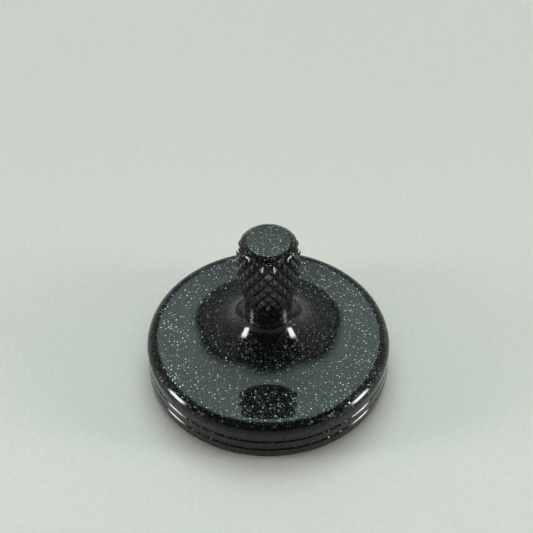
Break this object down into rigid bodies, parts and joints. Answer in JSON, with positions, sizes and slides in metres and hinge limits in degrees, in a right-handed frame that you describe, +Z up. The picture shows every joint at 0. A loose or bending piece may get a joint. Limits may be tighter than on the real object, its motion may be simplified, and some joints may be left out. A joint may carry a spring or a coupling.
{
  "type": "spinning top",
  "caption": "Low metal spinning top: thick grooved flywheel, concave hub, knurled finger grip and a ball contact tip in a screwed holder.",
  "frame": {"origin": "the point where the ball meets the table, on the spin axis", "axes": "+Z up the spin axis, from the ball tip to the flat end of the grip; X and Y are free, because the top is round"},
  "size_m": [0.032, 0.032, 0.0241],
  "materials": {
    "flywheel_coat": "gloss black coat with fine silver flakes",
    "grip_coat": "gloss black coat with fine silver flakes over diamond knurling",
    "stud_steel": "plain steel thread",
    "holder_steel": "turned stainless steel",
    "ball_ceramic": "polished"
  },
  "bodies": {
    "root": {"flywheel": "flywheel_coat", "grip_stem": "grip_coat", "stud": "stud_steel", "tip_holder": "holder_steel", "tip_ball": "ball_ceramic"}
  },
  "joints": []
}
